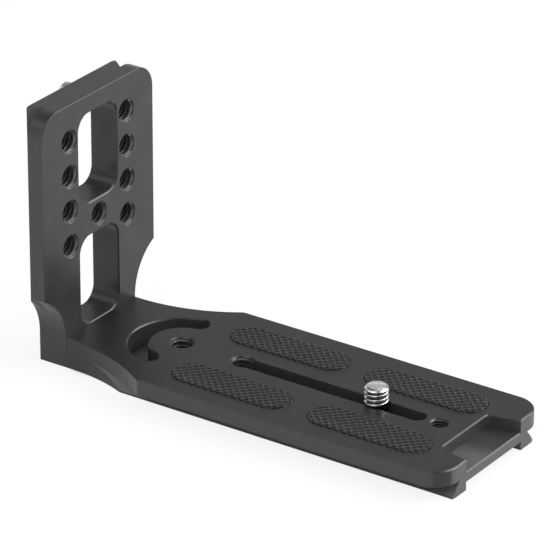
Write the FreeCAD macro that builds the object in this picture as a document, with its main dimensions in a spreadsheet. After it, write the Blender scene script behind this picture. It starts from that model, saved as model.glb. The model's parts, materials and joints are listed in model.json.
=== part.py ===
import FreeCAD, Part
import os
import re
import Sketcher

# Camera L bracket in two machined plates. The base lies on its dovetail rails and carries the camera,
# and the upright stands at the base's end with a dovetail rail of its own, so that a clamp can hold
# the camera level or on its side. Sizes are in millimetres.
# Frame: +X along the base and away from the upright, +Y across the base to the rear, +Z up.
# The origin is at the middle of the footprint, on the plane of the rail bottoms.
# Distances named "from outer" are counted along X from the upright's outer face.

sizes = {
    # both plates are cut from one section: a flange on a dovetail block
    "bracket_length": 131.4,
    "bracket_height": 73.9,
    "plate_width": 48.5,
    "plate_thickness": 8.6,
    "flange_thickness": 4.45,
    "rail_width": 38.1,
    "rail_root_width": 32.0,
    "rail_land": 0.5,
    "corner_radius": 7.0,
    "edge_break": 0.35,
    "fine_bevel": 0.1,
    "hole_bevel": 0.2,
    # necks where the two plates meet
    "neck_width": 31.0,
    "base_neck_start": 10.5,
    "base_neck_radius": 47.6,
    "base_neck_corner": 2.0,
    "upright_neck_radius": 15.3,
    # windows and threaded holes of the upright
    "window_width": 16.6,
    "window_corner": 4.5,
    "lower_sill_height": 8.7,
    "window_top_margin": 5.1,
    "web_height": 9.5,
    "centre_hole_height": 38.75,
    "thread_radius": 3.175,
    "column_spacing": 24.9,
    "row_pitch": 9.9,
    "row_count": 4,
    "top_row_below_top": 10.2,
    # curved slot and threaded hole by the base's neck
    "pivot_from_outer": 35.2,
    "arc_radius": 11.8,
    "arc_width": 5.4,
    "arc_half_sweep": 77.0,
    # long slot with its screw entry, and the hole beyond it
    "entry_from_outer": 54.5,
    "slot_end_from_end": 23.0,
    "slot_width": 4.9,
    "end_hole_from_end": 16.3,
    "end_hole_radius": 2.5,
    # grip pads in shallow recesses
    "pads_from_outer": 42.2,
    "pads_from_end": 10.8,
    "pads_apart": 6.1,
    "pad_width": 10.8,
    "pad_side_margin": 5.65,
    "pad_recess_depth": 1.2,
    "pad_proud": 0.5,
    "pad_gap": 0.1,
    "pad_edge_bevel": 0.2,
    # open notch at the free end
    "notch_depth": 8.8,
    "notch_back_width": 22.2,
    "notch_mouth_width": 25.8,
    "notch_floor_height": 5.1,
    "notch_corner": 1.5,
    # channel between the rails, and the deeper track for the screw's head
    "channel_from_outer": 18.0,
    "channel_width": 26.0,
    "channel_depth": 2.4,
    "channel_corner": 3.0,
    "track_width": 12.6,
    "track_depth": 3.9,
    # captive camera screw and its washer
    "screw_from_slot_end": 12.4,
    "screw_stand": 5.1,
    "screw_tip_bevel": 0.6,
    "screw_rest_gap": 0.1,
    "screw_neck_clearance": 0.1,
    "screw_head_lift": 0.8,
    "screw_drive_width": 1.4,
    "screw_drive_depth": 1.3,
    "washer_side_gap": 0.5,
    "washer_rim": 0.3,
    "washer_thickness": 0.6,
    "washer_clearance": 0.1,
    # two socket screws that hold the base to the upright
    "joint_screw_spacing": 18.0,
    "joint_screw_height": 5.4,
    "joint_screw_radius": 2.0,
    "joint_head_radius": 3.5,
    "joint_head_height": 4.0,
    "joint_head_sink": 0.2,
    "joint_screw_length": 14.0,
    "joint_socket_flats": 3.0,
    "joint_socket_depth": 2.0,
    "joint_clearance": 0.15,
    # stop screw near the top of the upright's outer face
    "stop_below_top": 3.05,
    "stop_head_radius": 2.8,
    "stop_head_height": 2.5,
    "stop_head_bevel": 0.6,
    "stop_thread_radius": 1.25,
    "stop_thread_length": 5.0,
    "stop_recess_radius": 0.75,
    "stop_recess_depth": 1.1,
    "thread_fit": 0.05,
}

# places and sizes that follow from the ones above, as formulas
slot_end = "(bracket_length - slot_end_from_end)"
screw_place = f"({slot_end} - screw_from_slot_end)"
pad_length = "((bracket_length - pads_from_outer - pads_from_end - pads_apart) / 2)"
pad_offset = "(plate_width / 2 - pad_side_margin - pad_width / 2)"
inner_pad = f"(pads_from_outer + {pad_length} / 2)"
outer_pad = f"(bracket_length - pads_from_end - {pad_length} / 2)"
screw_seat = "(track_depth - washer_thickness)"
screw_neck = "(slot_width / 2 - screw_neck_clearance)"
washer_radius = "(track_width / 2 - washer_side_gap)"
neck_step = "(base_neck_radius - (plate_width - neck_width) / 2)"
base_neck_end = f"(base_neck_start + sqrt(base_neck_radius^2 - {neck_step}^2))"

doc = FreeCAD.newDocument("camera_l_bracket")
sheet = doc.addObject("Spreadsheet::Sheet", "sizes")
for row, (alias, size) in enumerate(sizes.items(), start=1):
    sheet.set(f"A{row}", alias.replace("_", " "))
    sheet.set(f"B{row}", str(size))
    sheet.setAlias(f"B{row}", alias)
doc.recompute()


def formula(text):
    """A formula on size names, written for the sheet; a leading ~ marks a starting value."""
    names = re.compile("[a-z][a-z_]+")
    return names.sub(lambda word: "sizes." + word[0] if word[0] in sizes else word[0], text.lstrip("~"))


def number(text):
    """The value of a formula now."""
    return float(sheet.evalExpression(formula(text)))


def bind(item, prop, text):
    item.setExpression(prop, formula(text))


def new_body(label):
    """A body whose own X starts at the upright's outer face and whose Z starts at the rail bottoms."""
    body = doc.addObject("PartDesign::Body", label)
    body.Label = label
    bind(body, "Placement.Base.x", "-(bracket_length - stop_head_height) / 2")
    return body


def new_sketch(body, name, role, offset="0"):
    """A sketch on one of the body's own planes, moved along that plane's normal."""
    sketch = body.newObject("Sketcher::SketchObject", name)
    plane = next(item for item in body.Origin.OriginFeatures if item.Role == role)
    sketch.AttachmentSupport = [(plane, "")]
    sketch.MapMode = "FlatFace"
    bind(sketch, "AttachmentOffset.Base.z", offset)
    return sketch


def constrain(sketch, kind, geometry, point, text):
    """Ties one coordinate of a point, or a circle's radius, to a formula, unless a ~ leaves it free."""
    if text.startswith("~"):
        return
    if kind == "Radius":
        index = sketch.addConstraint(Sketcher.Constraint(kind, geometry, number(text)))
    else:
        index = sketch.addConstraint(Sketcher.Constraint(kind, -1, 1, geometry, point, number(text)))
    bind(sketch, f"Constraints[{index}]", text)


def add_outline(sketch, corners, arcs=None):
    """A closed outline through corners, each a pair of formulas. The edge after corner i is straight,
    or an arc where arcs[i] gives its centre and its sense, "left" for counter-clockwise."""
    arcs = arcs or {}
    places = [FreeCAD.Vector(number(x), number(y), 0) for x, y in corners]
    ends = []
    for i, place in enumerate(places):
        following = places[(i + 1) % len(places)]
        if i not in arcs:
            ends.append((sketch.addGeometry(Part.LineSegment(place, following)), 1, 2))
            continue
        centre_x, centre_y, sense = arcs[i]
        centre = FreeCAD.Vector(number(centre_x), number(centre_y), 0)
        across = FreeCAD.Vector(1, 0, 0)
        first, last = (place, following) if sense == "left" else (following, place)
        angles = [(end - centre).getAngle(across) * (1 if end.y >= centre.y else -1) for end in (first, last)]
        circle = Part.Circle(centre, FreeCAD.Vector(0, 0, 1), (place - centre).Length)
        index = sketch.addGeometry(Part.ArcOfCircle(circle, *angles))
        ends.append((index, 1, 2) if sense == "left" else (index, 2, 1))
    for i, (index, start, end) in enumerate(ends):
        after, after_start, _ = ends[(i + 1) % len(ends)]
        sketch.addConstraint(Sketcher.Constraint("Coincident", index, end, after, after_start))
        constrain(sketch, "DistanceX", index, start, corners[i][0])
        constrain(sketch, "DistanceY", index, start, corners[i][1])
        if i in arcs:
            constrain(sketch, "DistanceX", index, 3, arcs[i][0])
            constrain(sketch, "DistanceY", index, 3, arcs[i][1])


def add_circle(sketch, x, y, radius):
    circle = Part.Circle(FreeCAD.Vector(number(x), number(y), 0), FreeCAD.Vector(0, 0, 1), number(radius))
    index = sketch.addGeometry(circle)
    constrain(sketch, "DistanceX", index, 3, x)
    constrain(sketch, "DistanceY", index, 3, y)
    constrain(sketch, "Radius", index, 3, radius)


def add_slot(sketch, start, finish, y, half_width):
    """A slot along X with round ends centred on start and finish."""
    low, high = f"{y} - {half_width}", f"{y} + {half_width}"
    corners = [(start, low), (finish, low), (finish, high), (start, high)]
    add_outline(sketch, corners, {1: (finish, "~" + y, "left"), 3: (start, "~" + y, "left")})


def add_flanks(sketch, across_first):
    """The waste beside both dovetail flanks, under the flange. The sketch's first axis runs across the
    plate, or through its thickness from the rail side."""
    for side in ("-", ""):
        corners = [
            (f"{side}rail_root_width / 2", "plate_thickness - flange_thickness"),
            (f"{side}plate_width", "plate_thickness - flange_thickness"),
            (f"{side}plate_width", "-plate_thickness"),
            (f"{side}rail_width / 2", "-plate_thickness"),
            (f"{side}rail_width / 2", "rail_land"),
        ]
        add_outline(sketch, corners if across_first else [(depth, across) for across, depth in corners])


def pad(body, sketch, name, length):
    feature = body.newObject("PartDesign::Pad", name)
    feature.Profile = sketch
    bind(feature, "Length", length)
    doc.recompute()
    return feature


def cut(body, sketch, name, depth=None, reverse=False):
    """A pocket of the given depth, or through everything both ways, that has to remove material."""
    before = body.Shape.Volume
    feature = body.newObject("PartDesign::Pocket", name)
    feature.Profile = sketch
    feature.Reversed = reverse
    if depth is None:
        feature.SideType = "Two sides"
        feature.Type = "ThroughAll"
        feature.Type2 = "ThroughAll"
    else:
        bind(feature, "Length", depth)
    doc.recompute()
    assert body.Shape.Volume < before, name
    return feature


def ease(body, kind, name, edges, size):
    """A fillet or a chamfer along the named edges."""
    before = body.Tip
    feature = body.newObject("PartDesign::" + kind, name)
    feature.Base = (before, edges)
    bind(feature, "Radius" if kind == "Fillet" else "Size", size)
    doc.recompute()


def edges_along(body, axis, spots):
    """Names of the straight edges along an axis that cross the plane at right angles to it near a spot."""
    others = [i for i in range(3) if i != "XYZ".index(axis)]
    shift = body.Placement.Base
    names = []
    for index, edge in enumerate(body.Shape.Edges, start=1):
        if not isinstance(edge.Curve, Part.Line) or abs(edge.Curve.Direction["XYZ".index(axis)]) < 0.999:
            continue
        middle = edge.CenterOfMass - shift
        if any(abs(middle[others[0]] - a) < 0.01 and abs(middle[others[1]] - b) < 0.01 for a, b in spots):
            names.append(f"Edge{index}")
    return names


def rim_edges(body, axis, level, outer, skip=None):
    """Names of the edges round the largest flat face at a level: its outer rim or the rims of its holes."""
    place = "XYZ".index(axis)
    level = level + body.Placement.Base[place]
    faces = [face for face in body.Shape.Faces
             if isinstance(face.Surface, Part.Plane)
             and abs(face.Surface.Axis[place]) > 0.999
             and abs(face.CenterOfMass[place] - level) < 0.001]
    face = max(faces, key=lambda item: item.Area)
    wires = [wire for wire in face.Wires if wire.isSame(face.OuterWire) == outer]
    wanted = [edge for wire in wires for edge in wire.Edges if skip is None or not skip(edge)]
    return [f"Edge{index}" for index, edge in enumerate(body.Shape.Edges, start=1)
            if any(edge.isSame(item) for item in wanted)]


def build_base():
    """Base plate: neck, flange on dovetail rails, slots, holes, pad recesses, end notch and channel."""
    body = new_body("base_plate")
    plan = new_sketch(body, "base_plan", "XY_Plane")
    half, neck = "plate_width / 2", "neck_width / 2"
    add_outline(plan, [
        ("plate_thickness", f"-{neck}"),
        ("base_neck_start", f"-{neck}"),
        ("~" + base_neck_end, f"-{half}"),
        ("bracket_length", f"-{half}"),
        ("bracket_length", half),
        ("~" + base_neck_end, half),
        ("base_neck_start", neck),
        ("plate_thickness", neck),
    ], {
        1: ("base_neck_start", f"-{neck} - base_neck_radius", "right"),
        5: ("base_neck_start", f"{neck} + base_neck_radius", "right"),
    })
    pad(body, plan, "base_blank", "plate_thickness")
    far_corners = [(number("bracket_length"), side * number(half)) for side in (-1, 1)]
    ease(body, "Fillet", "base_corners", edges_along(body, "Z", far_corners), "corner_radius")
    neck_corners = [(number(base_neck_end), side * number(half)) for side in (-1, 1)]
    ease(body, "Fillet", "base_neck_corners", edges_along(body, "Z", neck_corners), "base_neck_corner")

    flanks = new_sketch(body, "base_flanks", "YZ_Plane")
    add_flanks(flanks, True)
    cut(body, flanks, "base_dovetail")

    notch = new_sketch(body, "base_notch", "XY_Plane", "plate_thickness")
    back, mouth = "notch_back_width / 2", "notch_mouth_width / 2"
    add_outline(notch, [
        ("bracket_length - notch_depth", f"-{back}"),
        ("bracket_length", f"-{mouth}"),
        ("bracket_length + plate_thickness", f"-{mouth}"),
        ("bracket_length + plate_thickness", mouth),
        ("bracket_length", mouth),
        ("bracket_length - notch_depth", back),
    ])
    cut(body, notch, "end_notch", "plate_thickness - notch_floor_height")
    back_corners = [(number("bracket_length - notch_depth"), side * number(back)) for side in (-1, 1)]
    ease(body, "Fillet", "notch_corners", edges_along(body, "Z", back_corners), "notch_corner")
    lip = [(number("bracket_length"), number("notch_floor_height"))]
    ease(body, "Chamfer", "notch_lip_bevel", edges_along(body, "Y", lip), "edge_break")
    joint = number("plate_thickness") + body.Placement.Base.x
    top_rim = rim_edges(body, "Z", number("plate_thickness"), True,
                        skip=lambda edge: abs(edge.CenterOfMass.x - joint) < 0.01)
    ease(body, "Chamfer", "base_top_bevel", top_rim, "edge_break")

    channel = new_sketch(body, "rail_channel", "XY_Plane")
    add_outline(channel, [
        ("channel_from_outer", "-channel_width / 2"),
        ("bracket_length + plate_thickness", "-channel_width / 2"),
        ("bracket_length + plate_thickness", "channel_width / 2"),
        ("channel_from_outer", "channel_width / 2"),
    ])
    cut(body, channel, "base_channel", "channel_depth", reverse=True)
    channel_corners = [(number("channel_from_outer"), side * number("channel_width / 2")) for side in (-1, 1)]
    ease(body, "Fillet", "channel_corners", edges_along(body, "Z", channel_corners), "channel_corner")
    track = new_sketch(body, "head_track", "XY_Plane")
    add_slot(track, "entry_from_outer", slot_end, "0", "track_width / 2")
    cut(body, track, "base_track", "track_depth", reverse=True)

    slots = new_sketch(body, "base_slots", "XY_Plane")
    add_slot(slots, "entry_from_outer", slot_end, "0", "slot_width / 2")
    outer, inner = "(arc_radius + arc_width / 2)", "(arc_radius - arc_width / 2)"
    centre, back, aside = "pivot_from_outer", "cos(arc_half_sweep * 1 deg)", "sin(arc_half_sweep * 1 deg)"
    add_outline(slots, [
        (f"{centre} - {outer} * {back}", f"{outer} * {aside}"),
        (f"{centre} - {outer} * {back}", f"-{outer} * {aside}"),
        (f"{centre} - {inner} * {back}", f"-{inner} * {aside}"),
        (f"{centre} - {inner} * {back}", f"{inner} * {aside}"),
    ], {
        0: (centre, "~0", "left"),
        1: (f"{centre} - arc_radius * {back}", f"~-arc_radius * {aside}", "left"),
        2: (centre, "~0", "right"),
        3: (f"{centre} - arc_radius * {back}", f"~arc_radius * {aside}", "left"),
    })
    add_circle(slots, "pivot_from_outer", "0", "thread_radius")
    add_circle(slots, "bracket_length - end_hole_from_end", "0", "end_hole_radius")
    cut(body, slots, "base_slots_cut")
    entry = new_sketch(body, "screw_entry", "XY_Plane")
    add_circle(entry, "entry_from_outer", "0", "thread_radius")
    cut(body, entry, "screw_entry_cut")
    pivot = FreeCAD.Vector(number(centre) + body.Placement.Base.x, 0, number("plate_thickness"))

    def on_curve(edge):
        reach = edge.Vertexes[0].Point.distanceToPoint(pivot)
        return abs(reach - number("arc_radius")) < number("arc_width")

    curve_rim = rim_edges(body, "Z", number("plate_thickness"), False, skip=lambda edge: not on_curve(edge))
    ease(body, "Chamfer", "curved_slot_bevel", curve_rim, "edge_break")
    other_rims = rim_edges(body, "Z", number("plate_thickness"), False, skip=on_curve)
    ease(body, "Chamfer", "base_hole_bevel", other_rims, "hole_bevel")

    recesses = new_sketch(body, "pad_recesses", "XY_Plane", "plate_thickness")
    reach = f"({pad_length} - pad_width) / 2"
    for middle in (inner_pad, outer_pad):
        for y in (f"-{pad_offset}", pad_offset):
            add_slot(recesses, f"{middle} - {reach}", f"{middle} + {reach}", y, "pad_width / 2")
    cut(body, recesses, "pad_recess_cut", "pad_recess_depth")

    bores = new_sketch(body, "joint_bores", "YZ_Plane", "plate_thickness")
    for side in ("-", ""):
        add_circle(bores, f"{side}joint_screw_spacing / 2", "joint_screw_height",
                   "joint_screw_radius + thread_fit")
    reach = "joint_head_sink + joint_head_height + joint_screw_length - plate_thickness"
    cut(body, bores, "joint_bores_cut", reach + " + thread_fit", reverse=True)
    return body


def build_upright():
    """Upright plate: flange towards the camera, dovetail rail outside, windows and threaded holes."""
    body = new_body("upright_plate")
    face = new_sketch(body, "upright_face", "YZ_Plane")
    half, neck = "plate_width / 2", "neck_width / 2"
    curve_end = "plate_thickness + upright_neck_radius * 0.9"
    add_outline(face, [
        (f"-{neck}", "0"),
        (neck, "0"),
        (neck, "plate_thickness"),
        (half, "~" + curve_end),
        (half, "bracket_height"),
        (f"-{half}", "bracket_height"),
        (f"-{half}", "~" + curve_end),
        (f"-{neck}", "plate_thickness"),
    ], {
        2: (f"{neck} + upright_neck_radius", "plate_thickness", "right"),
        6: (f"-{neck} - upright_neck_radius", "plate_thickness", "right"),
    })
    pad(body, face, "upright_blank", "plate_thickness")
    top_corners = [(side * number(half), number("bracket_height")) for side in (-1, 1)]
    ease(body, "Fillet", "upright_corners", edges_along(body, "X", top_corners), "corner_radius")

    flanks = new_sketch(body, "upright_flanks", "XY_Plane")
    add_flanks(flanks, False)
    cut(body, flanks, "upright_dovetail")

    windows = new_sketch(body, "upright_windows", "YZ_Plane")
    side_y = "window_width / 2"
    spans = [
        ("lower_sill_height", "centre_hole_height - web_height / 2"),
        ("centre_hole_height + web_height / 2", "bracket_height - window_top_margin"),
    ]
    for low, high in spans:
        add_outline(windows, [(f"-{side_y}", low), (side_y, low), (side_y, high), (f"-{side_y}", high)])
    cut(body, windows, "window_cut")
    corners = [(side * number(side_y), number(level)) for side in (-1, 1) for span in spans for level in span]
    ease(body, "Fillet", "window_corners", edges_along(body, "X", corners), "window_corner")

    holes = new_sketch(body, "upright_holes", "YZ_Plane")
    add_circle(holes, "0", "centre_hole_height", "thread_radius")
    for count in range(int(sizes["row_count"])):
        level = f"bracket_height - top_row_below_top - {count} * row_pitch"
        for side in ("-", ""):
            add_circle(holes, f"{side}column_spacing / 2", level, "thread_radius")
    cut(body, holes, "upright_holes_cut")
    for name, level, bevel in (("inner", "plate_thickness", "edge_break"), ("outer", "0", "fine_bevel")):
        outline = rim_edges(body, "X", number(level), True)
        ease(body, "Chamfer", f"{name}_outline_bevel", outline, "fine_bevel")
        window_rims = rim_edges(body, "X", number(level), False, skip=lambda edge: edge.isClosed())
        ease(body, "Chamfer", f"{name}_window_bevel", window_rims, bevel)
        hole_rims = rim_edges(body, "X", number(level), False, skip=lambda edge: not edge.isClosed())
        ease(body, "Chamfer", f"{name}_hole_bevel", hole_rims, "hole_bevel")

    shanks = new_sketch(body, "joint_clearance_holes", "YZ_Plane")
    heads = new_sketch(body, "joint_counterbores", "YZ_Plane")
    for side in ("-", ""):
        place = (f"{side}joint_screw_spacing / 2", "joint_screw_height")
        add_circle(shanks, *place, "joint_screw_radius + joint_clearance")
        add_circle(heads, *place, "joint_head_radius + joint_clearance")
    cut(body, shanks, "joint_clearance_cut")
    cut(body, heads, "joint_counterbore_cut", "joint_head_sink + joint_head_height", reverse=True)
    stop = new_sketch(body, "stop_bore", "YZ_Plane")
    add_circle(stop, "0", "bracket_height - stop_below_top", "stop_thread_radius + thread_fit")
    cut(body, stop, "stop_bore_cut", "stop_thread_length + thread_fit", reverse=True)
    return body


def build_pad(label, middle, y):
    """One grip pad: a round-ended slab of rubber with an eased top edge, standing a little proud."""
    body = new_body(label)
    plan = new_sketch(body, label + "_plan", "XY_Plane", "plate_thickness - pad_recess_depth")
    reach = f"({pad_length} - pad_width) / 2"
    add_slot(plan, f"{middle} - {reach}", f"{middle} + {reach}", y, "(pad_width / 2 - pad_gap)")
    pad(body, plan, label + "_slab", "pad_recess_depth + pad_proud")
    top = number("plate_thickness + pad_proud")
    ease(body, "Chamfer", label + "_edge", rim_edges(body, "Z", top, True), "pad_edge_bevel")
    return body


def turned(body, name, corners, role="XZ_Plane"):
    """A turned solid: corners give its half section as radius and height about the sketch's upright axis."""
    section = new_sketch(body, name + "_section", role)
    add_outline(section, corners)
    feature = body.newObject("PartDesign::Revolution", name)
    feature.Profile = section
    feature.ReferenceAxis = (section, ["V_Axis"])
    feature.Angle = 360
    doc.recompute()
    return feature


def build_camera_screw():
    """Captive screw: thread above the base, a relieved neck in the slot and a slotted head in the track."""
    body = new_body("camera_screw")
    bind(body, "Placement.Base.x", f"{screw_place} - (bracket_length - stop_head_height) / 2")
    head = f"({washer_radius} - washer_rim)"
    top = "(plate_thickness + screw_stand)"
    turned(body, "screw_turning", [
        ("0", "screw_head_lift"),
        (f"{head} - edge_break", "screw_head_lift"),
        (head, "screw_head_lift + edge_break"),
        (head, screw_seat),
        (screw_neck, screw_seat),
        (screw_neck, "plate_thickness + screw_rest_gap"),
        ("thread_radius - edge_break", "plate_thickness + screw_rest_gap"),
        ("thread_radius", "plate_thickness + screw_rest_gap + edge_break"),
        ("thread_radius", f"{top} - screw_tip_bevel"),
        ("thread_radius - screw_tip_bevel", top),
        ("0", top),
    ])
    drive = new_sketch(body, "screw_drive", "XY_Plane", "screw_head_lift")
    long_side, short_side = "track_width", "screw_drive_width / 2"
    add_outline(drive, [
        (f"-{long_side}", f"-{short_side}"),
        (long_side, f"-{short_side}"),
        (long_side, short_side),
        (f"-{long_side}", short_side),
    ])
    cut(body, drive, "screw_drive_slot", "screw_drive_depth", reverse=True)
    return body


def build_screw_washer():
    """Thin washer between the screw's head and the roof of the track."""
    body = new_body("screw_washer")
    bind(body, "Placement.Base.x", f"{screw_place} - (bracket_length - stop_head_height) / 2")
    ring = new_sketch(body, "washer_ring", "XY_Plane", screw_seat)
    add_circle(ring, "0", "0", washer_radius)
    add_circle(ring, "0", "0", f"{screw_neck} + washer_clearance")
    pad(body, ring, "washer_slab", "washer_thickness")
    return body


def build_joint_screw(label, side):
    """Socket screw in the upright's counterbore, threaded into the end of the base."""
    body = new_body(label)
    y, z = f"{side}joint_screw_spacing / 2", "joint_screw_height"
    head = new_sketch(body, label + "_head", "YZ_Plane", "joint_head_sink")
    add_circle(head, y, z, "joint_head_radius")
    pad(body, head, label + "_head_disc", "joint_head_height")
    ease(body, "Chamfer", label + "_head_edge",
         rim_edges(body, "X", number("joint_head_sink"), True), "edge_break")
    shank = new_sketch(body, label + "_shank", "YZ_Plane", "joint_head_sink + joint_head_height")
    add_circle(shank, y, z, "joint_screw_radius")
    pad(body, shank, label + "_shank_rod", "joint_screw_length")
    socket = new_sketch(body, label + "_socket", "YZ_Plane", "joint_head_sink")
    flat, point = "joint_socket_flats / 2", "joint_socket_flats / sqrt(3)"
    add_outline(socket, [
        (f"{y} + {point}", z),
        (f"{y} + {point} / 2", f"{z} + {flat}"),
        (f"{y} - {point} / 2", f"{z} + {flat}"),
        (f"{y} - {point}", z),
        (f"{y} - {point} / 2", f"{z} - {flat}"),
        (f"{y} + {point} / 2", f"{z} - {flat}"),
    ])
    cut(body, socket, label + "_socket_cut", "joint_socket_depth", reverse=True)
    return body


def build_stop_screw():
    """Pan head screw that keeps the bracket from sliding out of a clamp, near the top of the upright."""
    body = new_body("stop_screw")
    height = "bracket_height - stop_below_top"
    head = new_sketch(body, "stop_head", "YZ_Plane", "-stop_head_height")
    add_circle(head, "0", height, "stop_head_radius")
    pad(body, head, "stop_head_disc", "stop_head_height")
    ease(body, "Chamfer", "stop_head_edge", rim_edges(body, "X", -number("stop_head_height"), True),
         "stop_head_bevel")
    shank = new_sketch(body, "stop_shank", "YZ_Plane")
    add_circle(shank, "0", height, "stop_thread_radius")
    pad(body, shank, "stop_shank_rod", "stop_thread_length")
    recess = new_sketch(body, "stop_recess", "YZ_Plane", "-stop_head_height")
    flat, point = "stop_recess_radius", "stop_recess_radius * 2 / sqrt(3)"
    add_outline(recess, [
        (point, height),
        (f"{point} / 2", f"{height} + {flat}"),
        (f"-{point} / 2", f"{height} + {flat}"),
        (f"-{point}", height),
        (f"-{point} / 2", f"{height} - {flat}"),
        (f"{point} / 2", f"{height} - {flat}"),
    ])
    cut(body, recess, "stop_recess_cut", "stop_recess_depth", reverse=True)
    return body


bodies = [build_base(), build_upright()]
for place, middle in (("inner", inner_pad), ("outer", outer_pad)):
    for row_name, offset in (("front", f"-{pad_offset}"), ("rear", pad_offset)):
        bodies.append(build_pad(f"grip_pad_{place}_{row_name}", middle, offset))
bodies += [build_camera_screw(), build_screw_washer()]
bodies += [build_joint_screw("joint_screw_front", "-"), build_joint_screw("joint_screw_rear", "")]
bodies.append(build_stop_screw())
doc.recompute()

for item in doc.Objects:
    assert "Invalid" not in item.State and "Error" not in item.State, item.Name
os.makedirs("parts", exist_ok=True)
for body in bodies:
    shape = body.Shape
    assert not shape.isNull() and shape.isValid() and len(shape.Solids) == 1, body.Label
    shape.exportStep(f"parts/{body.Label}.step")
    box = shape.BoundBox
    print(f"{body.Label}: {shape.Volume:.1f} mm3, x {box.XMin:.2f} {box.XMax:.2f}, "
          f"y {box.YMin:.2f} {box.YMax:.2f}, z {box.ZMin:.2f} {box.ZMax:.2f}")
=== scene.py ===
import json
import math

import bmesh
import bpy
import numpy as np
from mathutils import Matrix, Vector


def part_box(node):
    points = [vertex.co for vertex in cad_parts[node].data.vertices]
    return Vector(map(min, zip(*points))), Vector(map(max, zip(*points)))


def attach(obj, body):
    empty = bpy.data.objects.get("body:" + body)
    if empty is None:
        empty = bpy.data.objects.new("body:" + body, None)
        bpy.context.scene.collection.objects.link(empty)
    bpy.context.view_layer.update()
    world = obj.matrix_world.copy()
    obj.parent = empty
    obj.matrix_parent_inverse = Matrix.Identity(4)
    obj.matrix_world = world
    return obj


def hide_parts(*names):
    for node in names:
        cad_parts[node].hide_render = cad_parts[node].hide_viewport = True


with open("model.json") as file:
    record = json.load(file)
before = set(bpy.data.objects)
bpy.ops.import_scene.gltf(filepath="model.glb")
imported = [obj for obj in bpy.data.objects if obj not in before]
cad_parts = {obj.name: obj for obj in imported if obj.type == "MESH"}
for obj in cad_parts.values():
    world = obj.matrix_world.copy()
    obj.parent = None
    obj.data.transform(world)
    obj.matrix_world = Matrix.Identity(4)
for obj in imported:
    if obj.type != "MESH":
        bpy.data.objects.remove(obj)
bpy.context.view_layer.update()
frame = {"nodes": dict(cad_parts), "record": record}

# Looks of the camera L bracket: black anodised plates, net-textured rubber pads, steel screws.
# Lengths are in millimetres and angles in degrees where no comment says otherwise, and MM turns
# millimetres into the scene's metres.
MM = 0.001
FULL_TURN = 2.0 * math.pi      # in radians
WELD = 0.0005                  # points nearer to each other than this become one
RIM_BEVEL = 0.2                # bevel round each hole and on the screw's head
PIECE_INSET = 0.02             # how far a replacing piece stays inside its CAD node

# Threads. A profile is half the crest's width and a flank's width, both in turns.
THREAD_PITCH = 1.27            # 20 turns an inch
FINE_PITCH = 0.8               # of the small hole beyond the long slot
INNER_PROFILE = (0.16, 0.28)
INNER_DEPTH_SHARE = 0.38       # depth of an inner thread as a share of its pitch
INNER_FADE_SHARE = 0.35        # stretch at both ends where it fades out, likewise
INNER_PROUD = 0.01             # how far its root stands proud of the hole's wall
INNER_BACKING = 0.15           # how far its sleeve reaches into the metal
ENTRY_FROM_OUTER = 54.5        # the threaded entry's middle, from the upright's outer face
ENTRY_OPENING = 53.0           # either side of +X, where the entry runs out into the slot
WASHER_CLEARANCE = 0.08        # between the base's threads and the washer that slides below

SCREW_PROFILE = (0.15, 0.26)
SCREW_ROOT_DEPTH = 0.75
SCREW_BEVEL = 0.6
SCREW_NECK_RADIUS = 2.33
SCREW_HEAD_GAP = 0.03          # between the head and the washer

# Grip pads.
NET_PITCH = 1.59               # between neighbouring ridges of the net
NET_RIDGE = 0.62               # width of one ridge at its foot
NET_DEPTH = 0.42
PAD_STEP = 0.12                # spacing of the points of a pad's surface
PAD_ROLL = 0.5                 # width of the rounded edge
PAD_ROLL_DROP = 0.25           # height of the rounded edge

# Where the plates' finish, their painted light and their painted shade change: each pair is where
# the change starts and where it is done.
RAIL_FLANKS = (4.3, 4.6)       # from the outer face, the end of the rail's flanks
PALE_END = (-0.5, -0.2)        # from the free end, the start of the paler end face
NOTCH_START = (-9.5, -9.0)     # from the free end
NOTCH_FLOOR = (5.2, 5.5)       # from the outer face, the end of the notch's floor
NOTCH_FRONT = (-5.0, 2.5)      # the end of the floor's front half, painted paler as painted light
OPENINGS = (14.0, 14.8)        # from the middle, the end of the walls of openings
LONG_SIDES = (22.5, 23.5)      # from the middle, the start of the long sides
PALE_RIDGES = (0.25, 0.5)      # above the base, the start of the net's paler ridges
SCREW_GROOVES = (-0.5, -0.18)  # from the thread's crest, the end of the painted shade in its grooves

# The photograph's view.
VIEW_AZIMUTH = 34.30
VIEW_ELEVATION = 25.64
VIEW_ROLL = 0.234
VIEW_DISTANCE = 1141.7
VIEW_AIM = (-0.86, 3.6, 33.1)
LENS = 285.56
SENSOR = 36.0

# Soft boxes: name, azimuth, elevation, width and height in metres, brightness.
LAMP_DISTANCE = 0.9            # in metres
LAMPS = (
    ("front_box", 3.0, 40.0, 0.5, 0.3, 5.0),
    ("right_box", 123.0, 40.0, 1.15, 0.4, 6.0),
    ("left_box", -48.0, 43.0, 0.5, 0.3, 1.1),
)

# The world: places by the sine of their height above the horizon, with their light.
SKY_LEVELS = ((0.10, 0.9), (0.36, 0.48), (0.60, 0.48), (1.0, 0.8))
SKY_TINT = (0.97, 0.98, 1.0, 1.0)
GAP_AZIMUTH = 52.0             # of the dark gap between the front box and the right one
GAP_HALF_WIDTH = 0.13          # as the sine of its angle
GAP_REACH = 0.3                # where it ends, as the cosine of the angle from its middle
GAP_SHADE = 0.85
DIM_WAY = (-0.51, 0.10, 0.85)  # of the dim part of the sky, at the upper left
DIM_EDGE = 0.88                # where it starts, as the cosine of the angle from its middle
DIM_SLOPE = 11.0
DIM_SHADE = 0.75
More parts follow.
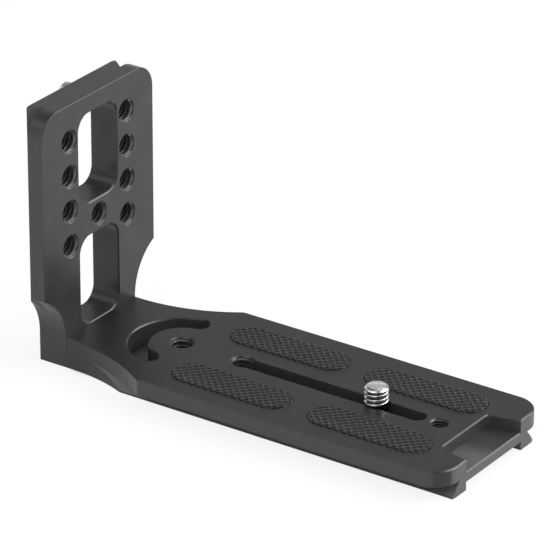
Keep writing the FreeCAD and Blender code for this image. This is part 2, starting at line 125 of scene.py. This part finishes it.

# The floor. The part beneath the plate, which its openings show, is painted shadow: a dark patch
# with a faint painted glow.
FLOOR_HALF = 12.0              # in metres
FLOOR_DROP = 0.02
BENEATH_SIDES = (14.0, 17.0)   # from the middle
BENEATH_START = (1.0, 3.0)     # from the outer end
BENEATH_END = (-4.0, -2.0)     # from the free end
FLOOR_WHITE = 0.86             # share of plain white that the camera sees
MIRRORED_WHITE = 0.7           # and that mirror rays see
BENEATH_GLOW = 0.020          # and that the camera sees beneath: a faint painted glow on the painted shadow

mounts = {mount["name"]: mount for mount in frame["record"]["mounts"]}
base_low, base_high = (np.array(corner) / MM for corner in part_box("base_plate"))
upright_low, upright_high = (np.array(corner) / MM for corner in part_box("upright_plate"))
screw_track_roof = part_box("screw_washer")[1][2] / MM


# ---------------------------------------------------------------- shader maths

class Value:
    """One output socket of a node tree, with Python operators that add Math nodes."""

    def __init__(self, tree, socket):
        self.tree = tree
        self.socket = socket

    def math(self, operation, *others, clamp=False):
        """The output of a new Math node that takes this value first."""
        node = self.tree.nodes.new("ShaderNodeMath")
        node.operation = operation
        node.use_clamp = clamp
        for slot, item in enumerate((self, *others)):
            if isinstance(item, Value):
                self.tree.links.new(item.socket, node.inputs[slot])
            else:
                node.inputs[slot].default_value = item
        return Value(self.tree, node.outputs[0])

    def __add__(self, other):
        return self.math("ADD", other)

    __radd__ = __add__

    def __mul__(self, other):
        return self.math("MULTIPLY", other)

    __rmul__ = __mul__

    def __sub__(self, other):
        return self.math("SUBTRACT", other)

    def __rsub__(self, other):
        return (self * -1.0) + other

    def clamped(self):
        return self.math("ADD", 0.0, clamp=True)


class Surface:
    """A new material with its Principled shader, and one method that adds any other node."""

    def __init__(self, name, **constants):
        self.material = bpy.data.materials.new(name)
        self.material.use_nodes = True
        self.tree = self.material.node_tree
        self.shader = next(node for node in self.tree.nodes if node.type == "BSDF_PRINCIPLED")
        for key, value in constants.items():
            socket = key.replace("_", " ").title().replace("Ior", "IOR")
            self.shader.inputs[socket].default_value = value
        self.place = self.node("ShaderNodeTexCoord", output="Object")
        self.normal = self.node("ShaderNodeTexCoord", output="Normal")

    def node(self, kind, output=0, settings=None, **inputs):
        """Adds a node, sets it up, fills its sockets with numbers or links and returns one output.
        A socket is given by its name, or by its number after an underscore."""
        node = self.tree.nodes.new(kind)
        for name, value in (settings or {}).items():
            setattr(node, name, value)
        for name, value in inputs.items():
            key = int(name[1:]) if name[1:].isdigit() else name.replace("_", " ")
            if isinstance(value, Value):
                self.tree.links.new(value.socket, node.inputs[key])
            else:
                node.inputs[key].default_value = value
        return Value(self.tree, node.outputs[output])

    def feed(self, socket, value):
        """Links a value to one of the shader's sockets."""
        self.tree.links.new(value.socket, self.shader.inputs[socket])

    def part_of(self, vector, axis):
        """One part of a vector: 0, 1 or 2 for X, Y or Z."""
        return self.node("ShaderNodeSeparateXYZ", output=axis, Vector=vector)

    def noise(self, grain, detail=2.0, stretch=None):
        """Noise from 0 to 1 whose grain is in millimetres, drawn out along the axes by stretch."""
        place = self.place
        if stretch:
            place = self.node("ShaderNodeMapping", Vector=place, Scale=stretch)
        return self.node("ShaderNodeTexNoise", Vector=place, Scale=1 / (grain * MM), Detail=detail)

    def band(self, value, low, high):
        """How far a value has come from low to high, from 0 to 1 and smoothly."""
        return self.node("ShaderNodeMapRange", settings={"interpolation_type": "SMOOTHSTEP"},
                         Value=value, From_Min=low, From_Max=high)

    def zone(self, place, reach, start=0.0):
        """As band, for a place and a reach of millimetres that is counted from start."""
        return self.band(place, (start + reach[0]) * MM, (start + reach[1]) * MM)

    def blend(self, share, first, second):
        """One colour turning into another with the share."""
        return self.node("ShaderNodeMix", output=2, settings={"data_type": "RGBA"},
                         _0=share, _6=first, _7=second)

    def bump(self, height, depth, strength):
        """Relief whose full height is depth millimetres."""
        self.feed("Normal", self.node("ShaderNodeBump", Height=height, Distance=depth * MM,
                                      Strength=strength))


def grey(level, warmth=0.0):
    """A nearly neutral colour, warmer or cooler by a small share."""
    return (level * (1 + warmth), level, level * (1 - warmth), 1.0)


def anodised_aluminium(name, thickness_axis, outer_face, dye, roughness, gloss, side_level,
                       slot_walls=0.0):
    """Black anodised plate: bead-blasted grain under the dye and faint cloudy patches. Bevels and
    rail flanks, whose normal leans halfway to the plate's thickness, are milled and smoother, and
    the flanks, which lie within the rail's height of the outer face, are painted paler: painted
    light standing in for light from the floor. The free end face is paler too, and so are the
    plate's long sides. The floor of the end notch is painted paler, most of all its front half:
    painted light on a floor that faces up.
    The lower the dye, the paler the whole. side_level is the grey of the long sides, and
    slot_walls is how pale the walls of the openings are, from 0 to 1."""
    finish = Surface(name, specular_ior_level=gloss)
    grain = finish.noise(grain=0.22, detail=3.0)
    patches = finish.noise(grain=9.0)

    along = finish.part_of(finish.place, 0)
    across = finish.part_of(finish.place, 1)
    aside = across.math("ABSOLUTE")
    depth = finish.part_of(finish.place, thickness_axis)
    facing = finish.part_of(finish.normal, thickness_axis).math("ABSOLUTE")
    facing_aside = finish.part_of(finish.normal, 1).math("ABSOLUTE")
    facing_up = finish.part_of(finish.normal, 2)

    milled = finish.band(facing, 0.42, 0.58) * (1.0 - finish.band(facing, 0.82, 0.94))
    painted_lit_flank = milled * (1.0 - finish.zone(depth, RAIL_FLANKS, outer_face))
    pale_end = finish.zone(along, PALE_END, base_high[0])
    notch_painted_light = (finish.zone(along, NOTCH_START, base_high[0])
                * (1.0 - finish.zone(depth, NOTCH_FLOOR, outer_face))
                * finish.band(facing_up, 0.9, 0.98))
    front_half = 1.0 - finish.zone(across, NOTCH_FRONT)
    wall = (1.0 - finish.zone(aside, OPENINGS)) * (1.0 - finish.band(facing, 0.1, 0.3))
    side = finish.band(facing_aside, 0.75, 0.95) * finish.zone(aside, LONG_SIDES)

    colour = finish.blend(finish.band(patches * 0.7 + grain * 0.3, 0.35, 0.68),
                          grey(0.0105 / dye, -0.05), grey(0.0150 / dye, -0.04))
    for share, paler in (
            (wall * (1.0 - pale_end) * slot_walls, grey(0.09, -0.06)),
            (side, grey(side_level, -0.04)),
            # painted light: the rail flanks paler, standing in for light from the floor
            (painted_lit_flank * (0.6 + grain * 0.4), grey(0.095, 0.0)),
            # painted light: the notch floor paler where it faces up, most of all at its front
            (notch_painted_light * (front_half * 0.8 + 0.2), grey(0.075, -0.02)),
            (pale_end * 0.8, grey(0.068, -0.02))):
        colour = finish.blend(share, colour, paler)
    finish.feed("Base Color", colour)
    finish.feed("Roughness",
                (patches * 0.05 + grain * 0.05 + roughness - milled * 0.06).clamped())
    finish.bump(grain * (1.0 - milled * 0.8), depth=0.010, strength=0.45)
    return finish.material


def cut_thread(name, level):
    """Threads cut after blasting: glossier than the plates, with fine tool chatter, and painted
    paler than the plates as painted light that lifts the shade in the holes. level is the grey of
    the chatter's darker side; the paler side is nearly twice that."""
    finish = Surface(name, specular_ior_level=0.8)
    chatter = finish.noise(grain=0.10)
    finish.feed("Base Color", finish.blend(finish.band(chatter, 0.3, 0.7),
                                           grey(level, -0.03), grey(level * 1.8, -0.03)))
    finish.feed("Roughness", (chatter * 0.08 + 0.10).clamped())
    finish.bump(chatter, depth=0.006, strength=0.4)
    return finish.material


def pad_rubber():
    """Moulded rubber: matt, with a fine uneven skin and slightly paler ridges."""
    finish = Surface("pad_rubber", specular_ior_level=0.45)
    grain = finish.noise(grain=0.12)
    pale_ridges = finish.zone(finish.part_of(finish.place, 2), PALE_RIDGES, base_high[2])
    finish.feed("Base Color", finish.blend(pale_ridges, grey(0.007, -0.05), grey(0.040, -0.05)))
    finish.feed("Roughness", (grain * 0.15 + 0.38).clamped())
    finish.bump(grain, depth=0.01, strength=0.5)
    return finish.material


def turned_steel(name, level, roughness, axis_x=None):
    """Turned stainless steel: fine rings of the tool round Z, seen as streaks in gloss and height.
    Round an axis at x, the thread's grooves are darkened with painted shade, except where they face
    up, such as the tip's flat top."""
    finish = Surface(name, metallic=1.0)
    streaks = finish.noise(grain=0.05, stretch=(0.08, 0.08, 1.0))
    stain = finish.noise(grain=1.4)
    colour = finish.blend(stain, grey(level, 0.01), grey(level * 1.1, 0.0))
    if axis_x is not None:
        away = finish.part_of(finish.place, 0) - axis_x * MM
        aside = finish.part_of(finish.place, 1)
        radius = (away * away + aside * aside).math("SQRT")
        crest = mounts["camera_thread"]["dims"]["r_mm"]
        sunk = 1.0 - finish.zone(radius, SCREW_GROOVES, crest)
        facing_up = finish.part_of(finish.normal, 2)
        # painted shade: the thread's grooves darkened, except where they face up
        painted_groove_shade = sunk * (1.0 - finish.band(facing_up, 0.70, 0.90)) * 0.93
        colour = finish.blend(painted_groove_shade, colour, grey(0.035))
    finish.feed("Base Color", colour)
    finish.feed("Roughness", (streaks * 0.10 + stain * 0.06 + roughness).clamped())
    finish.bump(streaks, depth=0.006, strength=0.4)
    return finish.material


def oxide_steel():
    """Black oxide on a socket screw: dark metal with a slightly oily, uneven gloss."""
    finish = Surface("black_oxide", metallic=1.0)
    grain = finish.noise(grain=0.15)
    finish.feed("Base Color", finish.blend(grain, grey(0.045), grey(0.075)))
    finish.feed("Roughness", (grain * 0.18 + 0.34).clamped())
    finish.bump(grain, depth=0.008, strength=0.4)
    return finish.material


def washer_nylon():
    """Black nylon washer: smooth, a little waxy, with faint moulding flow."""
    finish = Surface("washer_nylon", specular_ior_level=0.5)
    flow = finish.noise(grain=0.9, detail=3.0)
    finish.feed("Base Color", finish.blend(flow, grey(0.022), grey(0.034)))
    finish.feed("Roughness", (flow * 0.12 + 0.36).clamped())
    finish.bump(flow, depth=0.01, strength=0.3)
    return finish.material


# ---------------------------------------------------------------- meshes

def grid_faces(rows, columns):
    """Quads between neighbouring points of a grid numbered row by row."""
    row, column = np.meshgrid(np.arange(rows - 1), np.arange(columns - 1), indexing="ij")
    corner = row * columns + column
    corners = (corner, corner + 1, corner + columns + 1, corner + columns)
    return np.stack(corners, axis=-1).reshape(-1, 4)


def make_piece(name, points, faces, material, body, slot, smooth_angle=35.0):
    """A mesh of points and their faces, welded, closed and set to ride on a body."""
    mesh = bpy.data.meshes.new(name)
    mesh.from_pydata((np.asarray(points) * MM).tolist(), [], np.asarray(faces).tolist())
    shell = bmesh.new()
    shell.from_mesh(mesh)
    bmesh.ops.remove_doubles(shell, verts=shell.verts, dist=WELD * MM)
    bmesh.ops.dissolve_degenerate(shell, edges=shell.edges, dist=WELD * MM)
    bmesh.ops.holes_fill(shell, edges=shell.edges)
    bmesh.ops.recalc_face_normals(shell, faces=shell.faces)
    shell.to_mesh(mesh)
    shell.free()
    mesh.materials.append(material)
    mesh.polygons.foreach_set("use_smooth", np.ones(len(mesh.polygons), bool))
    mesh.set_sharp_from_angle(angle=math.radians(smooth_angle))
    piece = bpy.data.objects.new(name, mesh)
    bpy.context.scene.collection.objects.link(piece)
    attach(piece, body)
    return piece


def frame_of(axis):
    """Two unit vectors across an axis, which with it make a right-handed frame."""
    along = np.array(axis, float)
    side = np.cross((0.0, 1.0, 0.0) if abs(along[1]) < 0.5 else (1.0, 0.0, 0.0), along)
    side /= np.linalg.norm(side)
    return side, np.cross(along, side)


def thread_wave(phase, profile):
    """Height of a thread from 0 at its root to 1 at its crest: a trapezoid with rounded corners.
    The phase counts turns, and the crest is at a half."""
    crest, painted_lit_flank = profile
    slope = np.clip((crest + painted_lit_flank - np.abs(phase % 1.0 - 0.5)) / painted_lit_flank, 0.0, 1.0)
    return slope * slope * (3.0 - 2.0 * slope)


def helix_grid(low, high, pitch, start=0.0, finish=FULL_TURN, columns=72, per_turn=14):
    """Angles, heights and thread phases of a grid whose rows climb by one pitch a turn: height is
    the row's own height plus pitch times angle over a full turn, held between low and high, and
    the phase is what is left of the height over the pitch once the climb is taken off."""
    step = pitch / per_turn
    rows = np.arange(low - pitch - step, high + step, step)
    angle = np.linspace(start, finish, columns + 1)
    rise = pitch * angle / FULL_TURN
    heights = np.clip(rows[:, None] + rise[None, :], low, high)
    return np.broadcast_to(angle, heights.shape), heights, (heights - rise[None, :]) / pitch


def around(centre, axis, angles, heights, radii):
    """Points at the given angles, heights and radii about an axis through a centre."""
    side, up = frame_of(axis)
    along = np.array(axis, float)
    return (np.array(centre)
            + (radii * np.cos(angles))[..., None] * side
            + (radii * np.sin(angles))[..., None] * up
            + heights[..., None] * along)


def inner_thread(centre, axis, radius, low, high, pitch, start=0.0, finish=FULL_TURN):
    """Points and faces of one hole's thread: a thin sleeve in the hole's wall whose inner radius
    is the hole's less the thread's wave, which fades out at both ends."""
    angles, heights, phase = helix_grid(low, high, pitch, start, finish)
    to_end = np.minimum(heights - low, high - heights)
    fade = np.clip(to_end / (INNER_FADE_SHARE * pitch), 0.0, 1.0)
    depth = INNER_DEPTH_SHARE * pitch * thread_wave(phase, INNER_PROFILE) * fade
    inner = around(centre, axis, angles, heights, radius - INNER_PROUD - depth)
    behind = np.full_like(angles[0], radius + INNER_BACKING)
    first = around(centre, axis, angles[0], np.full_like(behind, low), behind)
    last = around(centre, axis, angles[0], np.full_like(behind, high), behind)
    points = np.concatenate([first[None], inner, last[None], first[None]])
    return points.reshape(-1, 3), grid_faces(points.shape[0], points.shape[1])


def joined(parts):
    """One set of points and faces from several."""
    points, faces, count = [], [], 0
    for some_points, some_faces in parts:
        points.append(some_points)
        faces.append(some_faces + count)
        count += len(some_points)
    return np.concatenate(points), np.concatenate(faces)


def mount_place(name):
    """Where a mount is, in millimetres."""
    return np.array(mounts[name]["pos_m"]) / MM


def upright_thread_parts():
    """Threads of the upright's nine holes, from its outer face to its inner one."""
    axis = (1.0, 0.0, 0.0)
    middle = (upright_low[0] + upright_high[0]) / 2
    reach = (upright_high[0] - upright_low[0]) / 2 - RIM_BEVEL
    radius = mounts["upright_centre_hole"]["dims"]["r_mm"]
    places = [mount_place("upright_centre_hole")]
    for rows in ("upright_outer_rows", "upright_middle_rows"):
        pattern, sizes = mount_place(rows), mounts[rows]["dims"]
        for side in (-0.5, 0.5):
            for level in (-0.5, 0.5):
                places.append(pattern + (0.0, side * sizes["spacing_x_mm"],
                                         level * sizes["spacing_y_mm"]))
    return [inner_thread((middle, place[1], place[2]), axis, radius, -reach, reach, THREAD_PITCH)
            for place in places]


def base_thread_parts():
    """Threads of the base's two round holes, and of the long slot's entry where it isn't open.
    Those of the entry and of the end hole stop a little above the roof of the track, where the
    washer slides."""
    axis = (0.0, 0.0, 1.0)
    top = base_high[2] - RIM_BEVEL
    above_roof = screw_track_roof + WASHER_CLEARANCE
    pivot, end = mount_place("pivot_hole"), mount_place("end_hole")
    pivot_sizes, end_sizes = mounts["pivot_hole"]["dims"], mounts["end_hole"]["dims"]
    pivot_low = pivot[2] - pivot_sizes["length_mm"] / 2
    entry_x = upright_low[0] + ENTRY_FROM_OUTER
    opening = math.radians(ENTRY_OPENING)
    return [
        inner_thread((entry_x, 0.0, 0.0), axis, pivot_sizes["r_mm"], above_roof, top,
                     THREAD_PITCH, opening, FULL_TURN - opening),
        inner_thread((pivot[0], pivot[1], 0.0), axis, pivot_sizes["r_mm"], pivot_low, top,
                     THREAD_PITCH),
        inner_thread((end[0], end[1], 0.0), axis, end_sizes["r_mm"], above_roof, top, FINE_PITCH),
    ]


def net_height(x, y):
    """Relief of the pads' net from 0 to 1: the higher of two sets of round-topped ridges that
    cross at right angles, each at 45 degrees to the pad's length."""
    heights = []
    for across in ((x + y) / math.sqrt(2), (x - y) / math.sqrt(2)):
        offset = np.abs((across / NET_PITCH + 0.5) % 1.0 - 0.5) * NET_PITCH
        ridge = np.clip(1.0 - offset / (NET_RIDGE / 2), 0.0, 1.0)
        heights.append(ridge * (2.0 - ridge))
    return np.maximum(*heights)


def build_grip_pad(node, material):
    """A pad as a grid over its round-ended outline. Rows run along the pad, and each row's ends
    lie on the outline. The top is the net's relief, less a quarter round along the edge, and a
    wall round the rim joins it to the underside."""
    low, high = (np.array(corner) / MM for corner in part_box(node))
    centre = (low + high) / 2
    half_width = (high[1] - low[1]) / 2 - PIECE_INSET
    straight = (high[0] - low[0]) / 2 - PIECE_INSET - half_width
    rows = int(2 * half_width / PAD_STEP)
    columns = int(2 * (straight + half_width) / PAD_STEP)

    turn = np.linspace(-1.0, 1.0, rows)
    across = half_width * np.sin(turn * np.pi / 2)
    reach = straight + np.sqrt(np.maximum(half_width ** 2 - across ** 2, 0.0))
    run = np.linspace(-1.0, 1.0, columns)
    x = reach[:, None] * run[None, :]
    y = np.broadcast_to(across[:, None], x.shape)

    past_end = np.maximum(np.abs(x) - straight, 0.0)
    inside = half_width - np.sqrt(past_end ** 2 + y ** 2)
    rolled = np.clip(inside / PAD_ROLL, 0.0, 1.0)
    drop = PAD_ROLL_DROP * (1.0 - np.sqrt(1.0 - (1.0 - rolled) ** 2))
    top = high[2] - NET_DEPTH * (1.0 - net_height(x + centre[0], y + centre[1])) - drop
    upper = np.stack([x + centre[0], y + centre[1], top], axis=-1)
    lower = upper.copy()
    lower[..., 2] = low[2]

    count = rows * columns
    faces = grid_faces(rows, columns)
    rim = np.concatenate([
        np.arange(columns),
        np.arange(2, rows) * columns - 1,
        np.arange(count - 1, count - 1 - columns, -1),
        np.arange(rows - 2, 0, -1) * columns,
    ])
    after = np.roll(rim, -1)
    wall = np.stack([rim, rim + count, after + count, after], axis=-1)
    points = np.concatenate([upper.reshape(-1, 3), lower.reshape(-1, 3)])
    pad = make_piece(node + "_net", points, np.concatenate([faces, faces[:, ::-1] + count, wall]),
                     material, "bracket", "pad")
    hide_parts(node)


def build_camera_screw(material):
    """The captive screw: a profile turned about its axis for head, neck and tip, whose thread
    stretch has the radius of its root plus the thread's wave, cut by a bevel at the tip."""
    low, high = (np.array(corner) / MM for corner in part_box("camera_screw"))
    head_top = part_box("screw_washer")[0][2] / MM - SCREW_HEAD_GAP
    place = mount_place("camera_thread")
    axis_foot, axis = (place[0], place[1], 0.0), (0.0, 0.0, 1.0)
    thread = mounts["camera_thread"]["dims"]
    crest, root = thread["r_mm"] - PIECE_INSET, thread["r_mm"] - SCREW_ROOT_DEPTH
    foot, tip = place[2] - thread["length_mm"] / 2, high[2] - PIECE_INSET

    angles, heights, phase = helix_grid(foot, tip, THREAD_PITCH, columns=120, per_turn=20)
    bevelled = crest - np.clip(SCREW_BEVEL - (tip - heights), 0.0, None)
    radii = np.minimum(root + (crest - root) * thread_wave(phase, SCREW_PROFILE), bevelled)
    turned = around(axis_foot, axis, angles, heights, radii)

    head = (high[0] - low[0]) / 2
    profile = [(0.0, low[2]), (head - RIM_BEVEL, low[2]), (head, low[2] + RIM_BEVEL),
               (head, head_top), (SCREW_NECK_RADIUS, head_top), (SCREW_NECK_RADIUS, foot)]
    ring = np.ones_like(angles[0])
    below = np.stack([around(axis_foot, axis, angles[0], ring * height, ring * radius)
                      for radius, height in profile])
    crown = around(axis_foot, axis, angles[0], ring * tip, ring * 0.0)
    points = np.concatenate([below, turned, crown[None]])
    screw = make_piece("camera_screw_turned", points.reshape(-1, 3), grid_faces(*points.shape[:2]),
                       material, "camera_screw", "screw", smooth_angle=50.0)
    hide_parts("camera_screw")


# ---------------------------------------------------------------- light, floor and camera

def way_out(azimuth, elevation):
    """The unit vector from the object to a lamp or the camera. Azimuth 0 looks along +Y and
    grows towards +X."""
    turn, rise = math.radians(azimuth), math.radians(elevation)
    level = math.cos(rise)
    return Vector((math.sin(turn) * level, -math.cos(turn) * level, math.sin(rise)))


def place_light(name, azimuth, elevation, width, height, brightness):
    """A soft oblong lamp on a sphere round the object, turned towards it. The brightness is that
    of its surface, whatever its size."""
    way = way_out(azimuth, elevation)
    lamp = bpy.data.lights.new(name, "AREA")
    lamp.shape = "RECTANGLE"
    lamp.size, lamp.size_y = width, height
    lamp.energy = brightness * math.pi * width * height
    holder = bpy.data.objects.new(name, lamp)
    holder.location = way * LAMP_DISTANCE
    holder.rotation_euler = way.to_track_quat("Z", "Y").to_euler()
    bpy.context.scene.collection.objects.link(holder)


def light_the_stage():
    """Soft boxes in front and to the right with a dark gap between them, a weak one to the left,
    and a world that is pale at the horizon and overhead and dim at the upper left."""
    for lamp in LAMPS:
        place_light(*lamp)
    world = bpy.data.worlds.new("studio")
    bpy.context.scene.world = world
    world.use_nodes = True
    nodes, links = world.node_tree.nodes, world.node_tree.links
    background = next(node for node in nodes if node.type == "BACKGROUND")
    background.inputs["Color"].default_value = SKY_TINT
    direction = nodes.new("ShaderNodeTexCoord")
    parts = nodes.new("ShaderNodeSeparateXYZ")
    links.new(direction.outputs["Generated"], parts.inputs[0])
    ramp = nodes.new("ShaderNodeValToRGB")
    stops = ramp.color_ramp.elements
    for height, level in SKY_LEVELS:
        stop = stops.new(height)
        stop.color = (level, level, level, 1.0)
    stops.remove(stops[0])
    stops.remove(stops[len(stops) - 1])
    links.new(parts.outputs[2], ramp.inputs[0])

    across, towards, upward = (Value(world.node_tree, output) for output in parts.outputs)
    gap = math.radians(GAP_AZIMUTH)
    aside = (across * math.cos(gap) + towards * math.sin(gap)).math("ABSOLUTE")
    ahead = across * math.sin(gap) - towards * math.cos(gap)
    narrow = aside.math("LESS_THAN", GAP_HALF_WIDTH) * ahead.math("GREATER_THAN", GAP_REACH)
    near_dim = across * DIM_WAY[0] + towards * DIM_WAY[1] + upward * DIM_WAY[2]
    dim = ((near_dim - DIM_EDGE) * DIM_SLOPE).clamped()
    sky = Value(world.node_tree, ramp.outputs[0])
    strength = sky * (1.0 - narrow * GAP_SHADE) * (1.0 - dim * DIM_SHADE)
    links.new(strength.socket, background.inputs["Strength"])


def lay_floor():
    """A large pale floor. What the camera and mirror rays see is mostly plain white beside the
    object, with a faint shadow. Beneath the plate it is the floor almost alone, painted dark as a
    painted shadow, with a faint painted glow for the camera."""
    half = FLOOR_HALF
    mesh = bpy.data.meshes.new("floor")
    mesh.from_pydata([(-half, -half, 0.0), (half, -half, 0.0), (half, half, 0.0),
                      (-half, half, 0.0)], [], [(0, 1, 2, 3)])
    floor = bpy.data.objects.new("floor", mesh)
    floor.location.z = -FLOOR_DROP * MM
    bpy.context.scene.collection.objects.link(floor)

    finish = Surface("pale_floor", roughness=0.9, specular_ior_level=0.1)
    along = finish.part_of(finish.place, 0)
    aside = finish.part_of(finish.place, 1).math("ABSOLUTE")
    painted_shadow_beneath = ((1.0 - finish.zone(aside, BENEATH_SIDES))
               * finish.zone(along, BENEATH_START, base_low[0])
               * (1.0 - finish.zone(along, BENEATH_END, base_high[0])))
    # painted shadow: the floor beneath the plate is dark
    finish.feed("Base Color", finish.blend(painted_shadow_beneath, grey(0.86), grey(0.045)))

    rays = finish.tree.nodes.new("ShaderNodeLightPath")
    camera, gloss, through = (Value(finish.tree, rays.outputs[name])
                              for name in ("Is Camera Ray", "Is Glossy Ray",
                                           "Is Transmission Ray"))
    beside = (camera * FLOOR_WHITE + gloss * MIRRORED_WHITE + through * FLOOR_WHITE).clamped()
    # painted light: a faint glow for camera rays lifts the painted shadow beneath
    share = beside * (1.0 - painted_shadow_beneath) + camera * painted_shadow_beneath * BENEATH_GLOW
    white = finish.tree.nodes.new("ShaderNodeEmission")
    mix = finish.tree.nodes.new("ShaderNodeMixShader")
    output = next(node for node in finish.tree.nodes if node.type == "OUTPUT_MATERIAL")
    finish.tree.links.new(share.socket, mix.inputs[0])
    finish.tree.links.new(finish.shader.outputs[0], mix.inputs[1])
    finish.tree.links.new(white.outputs[0], mix.inputs[2])
    finish.tree.links.new(mix.outputs[0], output.inputs["Surface"])
    mesh.materials.append(finish.material)


def set_camera():
    """The camera at the photograph's angle, looking at the aim point with a slight roll."""
    back = way_out(VIEW_AZIMUTH, VIEW_ELEVATION)
    camera = bpy.data.cameras.new("camera")
    camera.lens = LENS
    camera.sensor_width = SENSOR
    camera.clip_start = 0.05
    camera.clip_end = 50.0
    holder = bpy.data.objects.new("camera", camera)
    holder.location = (Vector(VIEW_AIM) + back * VIEW_DISTANCE) * MM
    look = (-back).to_track_quat("-Z", "Y").to_matrix()
    roll = Matrix.Rotation(math.radians(VIEW_ROLL), 3, "Z")
    holder.rotation_euler = (look @ roll).to_euler()
    bpy.context.scene.collection.objects.link(holder)
    bpy.context.scene.camera = holder


def dress(nodes, material):
    """Gives CAD nodes a material in each of their objects' slots."""
    for name in nodes:
        for slot in frame["nodes"][name].material_slots:
            slot.material = material


dress(["base_plate"],
      anodised_aluminium("anodised_base", thickness_axis=2, outer_face=base_low[2], dye=1.25,
                         roughness=0.34, gloss=0.5, side_level=0.028, slot_walls=0.25))
dress(["upright_plate"],
      anodised_aluminium("anodised_upright", thickness_axis=0, outer_face=upright_low[0],
                         dye=0.50, roughness=0.26, gloss=0.4, side_level=0.036))
dress(["joint_screw_front", "joint_screw_rear"], oxide_steel())
dress(["stop_screw"], turned_steel("dull_steel", level=0.55, roughness=0.30))
dress(["screw_washer"], washer_nylon())

# The thread greys are painted light: raised to lift the shade in the holes, more in the upright's.
make_piece("upright_thread_ridges", *joined(upright_thread_parts()),
           cut_thread("cut_thread_upright", level=0.036), "bracket", "plate")
make_piece("base_thread_ridges", *joined(base_thread_parts()),
           cut_thread("cut_thread_base", level=0.020), "bracket", "plate")
rubber = pad_rubber()
for pad_node in sorted(name for name in frame["nodes"] if name.startswith("grip_pad")):
    build_grip_pad(pad_node, rubber)
build_camera_screw(turned_steel("turned_steel", level=0.74, roughness=0.14,
                                axis_x=mount_place("camera_thread")[0]))

lay_floor()
light_the_stage()
set_camera()
bpy.context.scene.view_settings.view_transform = "Standard"
